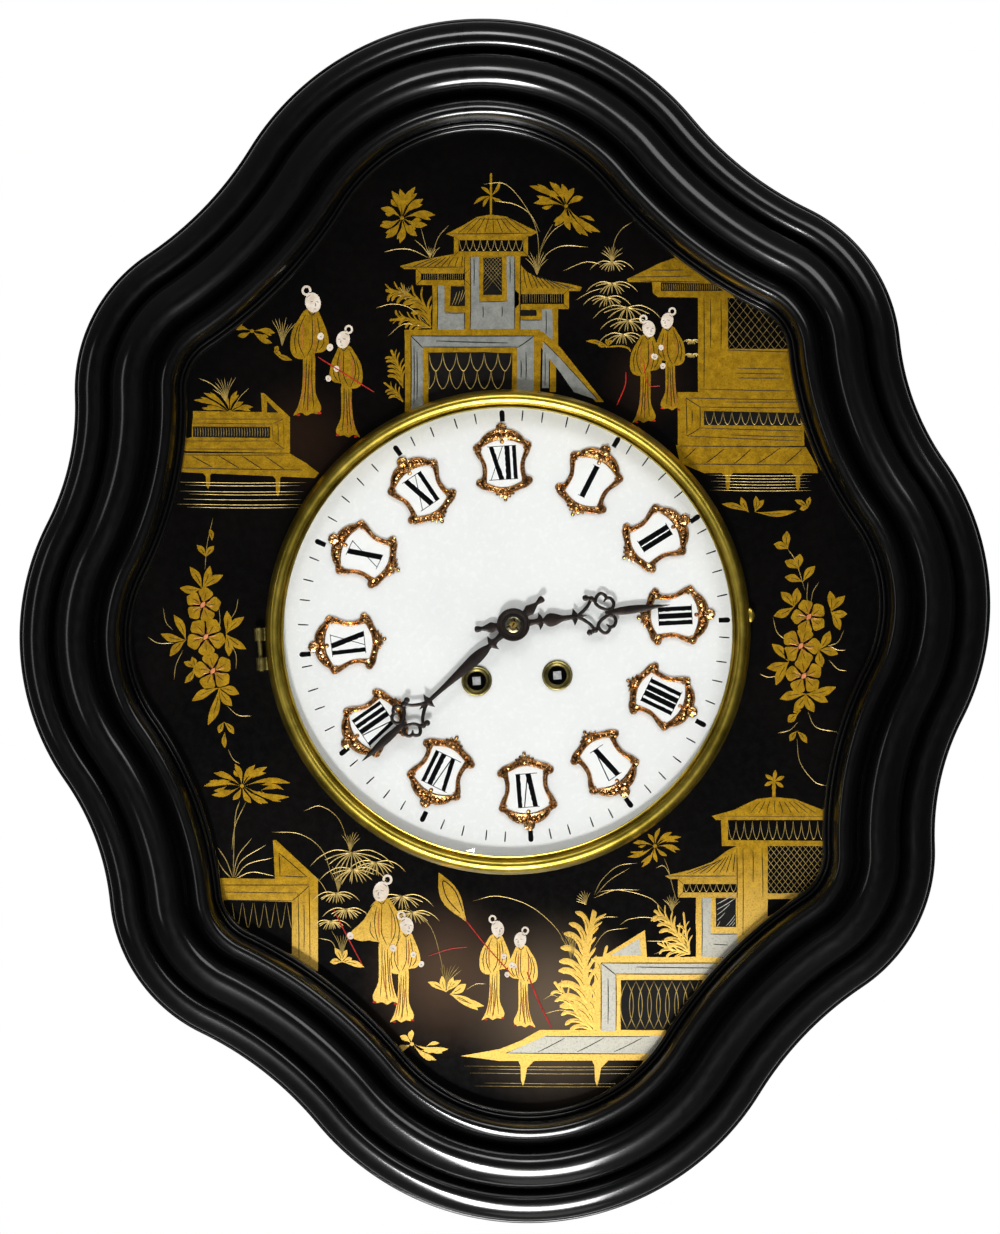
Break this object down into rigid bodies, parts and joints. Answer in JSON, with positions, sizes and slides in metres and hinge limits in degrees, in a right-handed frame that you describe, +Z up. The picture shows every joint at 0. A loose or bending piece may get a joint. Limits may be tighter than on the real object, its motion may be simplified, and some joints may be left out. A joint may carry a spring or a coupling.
{
  "type": "comtoise clock",
  "caption": "Wall clock with a scrolled frame round a lacquered panel, hinged glazed bezel over a cartouche dial, striking movement in a case behind.",
  "frame": {"origin": "where the hands' axis meets the wall plane, on the back board's back face", "axes": "+Z up, +X to the viewer's right, +Y into the wall: the dial faces -Y"},
  "size_m": [0.4634, 0.122, 0.575],
  "materials": {
    "ebonised_wood": "gloss",
    "lacquered_wood": "gloss",
    "case_oak": "satin",
    "steel_fixings": "satin",
    "case_brass": "satin",
    "bezel_brass": "polished",
    "glass": "polished",
    "dial_enamel": "gloss",
    "gilt_cartouche": "gilt",
    "plaque_enamel": "gloss",
    "movement_brass": "satin",
    "movement_steel": "satin",
    "spring_steel": "satin",
    "cast_iron": "satin",
    "blued_hands": "satin"
  },
  "bodies": {
    "case": {"frame_top_right": "ebonised_wood", "frame_bottom_right": "ebonised_wood", "frame_bottom_left": "ebonised_wood", "frame_top_left": "ebonised_wood", "lacquer_panel": "lacquered_wood", "panel_cleats": "steel_fixings", "back_board": "case_oak", "box_left_side": "case_oak", "box_right_side": "case_oak", "box_top": "case_oak", "box_bottom": "case_oak", "seat_board": "case_oak", "side_door_hinges": "case_brass", "case_screws": "steel_fixings", "hanging_plate": "case_brass", "bezel_base_ring": "bezel_brass", "bezel_hinge_pin": "bezel_brass", "dial_plate": "dial_enamel", "cartouche_frames": "gilt_cartouche", "cartouche_plaques": "plaque_enamel", "winding_eyelets": "movement_brass", "dial_feet": "movement_brass", "front_plate": "movement_brass", "back_plate": "movement_brass", "plate_pillars": "movement_brass", "movement_fasteners": "steel_fixings", "suspension_cock": "movement_brass", "gong_coil": "spring_steel", "gong_stand": "cast_iron"},
    "bezel": {"bezel_ring": "bezel_brass", "bezel_glass": "glass", "glass_retainer": "bezel_brass"},
    "minute_hand": {"minute_hand": "blued_hands", "hand_collet": "movement_brass", "cannon_pinion": "movement_brass", "centre_wheel": "movement_brass"},
    "hour_hand": {"hour_hand": "blued_hands", "hour_wheel": "movement_brass"},
    "minute_wheel": {"minute_wheel": "movement_brass"},
    "intermediate_wheel": {"intermediate_wheel": "movement_brass"},
    "time_barrel": {"time_barrel": "movement_brass", "time_mainspring": "spring_steel"},
    "time_winding": {"time_barrel_arbor": "movement_steel"},
    "time_click": {"time_click": "movement_steel"},
    "third_wheel": {"third_wheel": "movement_brass"},
    "escape_wheel": {"escape_wheel": "movement_brass"},
    "anchor": {"anchor": "movement_steel"},
    "pendulum": {"pendulum_rod": "movement_steel", "suspension_spring": "movement_steel"},
    "bob": {"pendulum_bob": "movement_brass"},
    "rating_nut": {"rating_nut": "movement_brass"},
    "pin_wheel": {"pin_wheel": "movement_brass"},
    "count_wheel": {"count_arbor_wheel": "movement_brass", "count_wheel": "movement_brass"},
    "strike_barrel": {"strike_barrel": "movement_brass", "strike_mainspring": "spring_steel"},
    "strike_winding": {"strike_barrel_arbor": "movement_steel"},
    "strike_click": {"strike_click": "movement_steel"},
    "locking_wheel": {"locking_wheel": "movement_brass"},
    "fly": {"fly": "movement_brass"},
    "hammer": {"hammer": "movement_steel"},
    "side_door": {"side_door": "case_oak"},
    "turn_button": {"door_turn_button": "case_brass"}
  },
  "joints": [
    {"name": "bezel_hinge", "type": "hinge", "parent": "case", "child": "bezel", "pos_m": [-0.1209, -0.1051, -0.0033], "axis": [0, 0, -1], "range_deg": [0, 120]},
    {"name": "hands_turn", "type": "hinge", "parent": "case", "child": "minute_hand", "pos_m": [0, -0.066, 0], "axis": [0, 1, 0], "continuous": true},
    {"name": "hour_turn", "type": "hinge", "parent": "case", "child": "hour_hand", "pos_m": [0, -0.09, 0], "axis": [0, 1, 0], "continuous": true},
    {"name": "minute_wheel_turn", "type": "hinge", "parent": "case", "child": "minute_wheel", "pos_m": [-0.01018, -0.088, 0.01018], "axis": [0, 1, 0], "continuous": true},
    {"name": "intermediate_turn", "type": "hinge", "parent": "case", "child": "intermediate_wheel", "pos_m": [0.01749, -0.066, -0.00425], "axis": [0, 1, 0], "continuous": true},
    {"name": "time_barrel_turn", "type": "hinge", "parent": "case", "child": "time_barrel", "pos_m": [0.019, -0.066, -0.0252], "axis": [0, 1, 0], "continuous": true},
    {"name": "time_winding_turn", "type": "hinge", "parent": "case", "child": "time_winding", "pos_m": [0.019, -0.066, -0.0252], "axis": [0, 1, 0], "range_deg": [0, 1800]},
    {"name": "time_click_swing", "type": "hinge", "parent": "case", "child": "time_click", "pos_m": [0.0265, -0.087, -0.0122], "axis": [0, 1, 0], "range_deg": [-12, 0], "stiffness_Nm_per_rad": 0.0005, "springref_deg": 17.19},
    {"name": "third_turn", "type": "hinge", "parent": "case", "child": "third_wheel", "pos_m": [0.00471, -0.066, 0.01696], "axis": [0, 1, 0], "continuous": true},
    {"name": "escape_turn", "type": "hinge", "parent": "case", "child": "escape_wheel", "pos_m": [0, -0.066, 0.033], "axis": [0, 1, 0], "continuous": true},
    {"name": "pendulum_swing", "type": "hinge", "parent": "case", "child": "pendulum", "pos_m": [0, -0.04, 0.0515], "axis": [0, 1, 0], "range_deg": [-3.5, 3.5]},
    {"name": "anchor_swing", "type": "hinge", "parent": "case", "child": "anchor", "pos_m": [0, -0.066, 0.0515], "axis": [0, 1, 0], "range_deg": [-3.5, 3.5]},
    {"name": "bob_slide", "type": "slide", "parent": "pendulum", "child": "bob", "axis": [0, 0, 1], "range_m": [-0.0015, 0.0015]},
    {"name": "rating_nut_turn", "type": "hinge", "parent": "bob", "child": "rating_nut", "pos_m": [0, -0.04, -0.1775], "axis": [0, 0, 1], "range_deg": [-1080, 1080]},
    {"name": "strike_train_turn", "type": "hinge", "parent": "case", "child": "pin_wheel", "pos_m": [-0.02215, -0.066, 0.01313], "axis": [0, 1, 0], "continuous": true},
    {"name": "count_wheel_turn", "type": "hinge", "parent": "case", "child": "count_wheel", "pos_m": [-0.01749, -0.066, -0.00425], "axis": [0, 1, 0], "continuous": true},
    {"name": "strike_barrel_turn", "type": "hinge", "parent": "case", "child": "strike_barrel", "pos_m": [-0.019, -0.066, -0.0252], "axis": [0, 1, 0], "continuous": true},
    {"name": "strike_winding_turn", "type": "hinge", "parent": "case", "child": "strike_winding", "pos_m": [-0.019, -0.066, -0.0252], "axis": [0, -1, 0], "range_deg": [0, 1800]},
    {"name": "strike_click_swing", "type": "hinge", "parent": "case", "child": "strike_click", "pos_m": [-0.0265, -0.087, -0.0122], "axis": [0, -1, 0], "range_deg": [-12, 0], "stiffness_Nm_per_rad": 0.0005, "springref_deg": 17.19},
    {"name": "locking_turn", "type": "hinge", "parent": "case", "child": "locking_wheel", "pos_m": [-0.01949, -0.066, 0.0282], "axis": [0, 1, 0], "continuous": true},
    {"name": "fly_turn", "type": "hinge", "parent": "case", "child": "fly", "pos_m": [-0.02524, -0.066, 0.04053], "axis": [0, 1, 0], "continuous": true},
    {"name": "hammer_lift", "type": "hinge", "parent": "case", "child": "hammer", "pos_m": [-0.04, -0.066, -0.014], "axis": [0, 1, 0], "range_deg": [0, 16], "stiffness_Nm_per_rad": 0.01, "springref_deg": -14.32},
    {"name": "side_door_hinge", "type": "hinge", "parent": "case", "child": "side_door", "pos_m": [0.094, -0.014, -0.03], "axis": [0, 0, 1], "range_deg": [0, 95]},
    {"name": "turn_button_turn", "type": "hinge", "parent": "case", "child": "turn_button", "pos_m": [0.0974, -0.08, -0.03], "axis": [1, 0, 0], "range_deg": [0, 90]}
  ],
  "couplings": [
    {"joint": "hour_turn", "follows": "hands_turn", "ratio": 0.083333},
    {"joint": "minute_wheel_turn", "follows": "hands_turn", "ratio": -0.33333},
    {"joint": "intermediate_turn", "follows": "hands_turn", "ratio": -0.125},
    {"joint": "time_barrel_turn", "follows": "hands_turn", "ratio": 0.020833},
    {"joint": "third_turn", "follows": "hands_turn", "ratio": -10},
    {"joint": "escape_turn", "follows": "hands_turn", "ratio": 100},
    {"joint": "anchor_swing", "follows": "pendulum_swing", "ratio": 1},
    {"joint": "rating_nut_turn", "follows": "bob_slide", "rad_per_m": 12566},
    {"joint": "count_wheel_turn", "follows": "strike_train_turn", "ratio": -0.125},
    {"joint": "strike_barrel_turn", "follows": "strike_train_turn", "ratio": 0.020833},
    {"joint": "locking_turn", "follows": "strike_train_turn", "ratio": -7.5},
    {"joint": "fly_turn", "follows": "strike_train_turn", "ratio": 56.25}
  ]
}
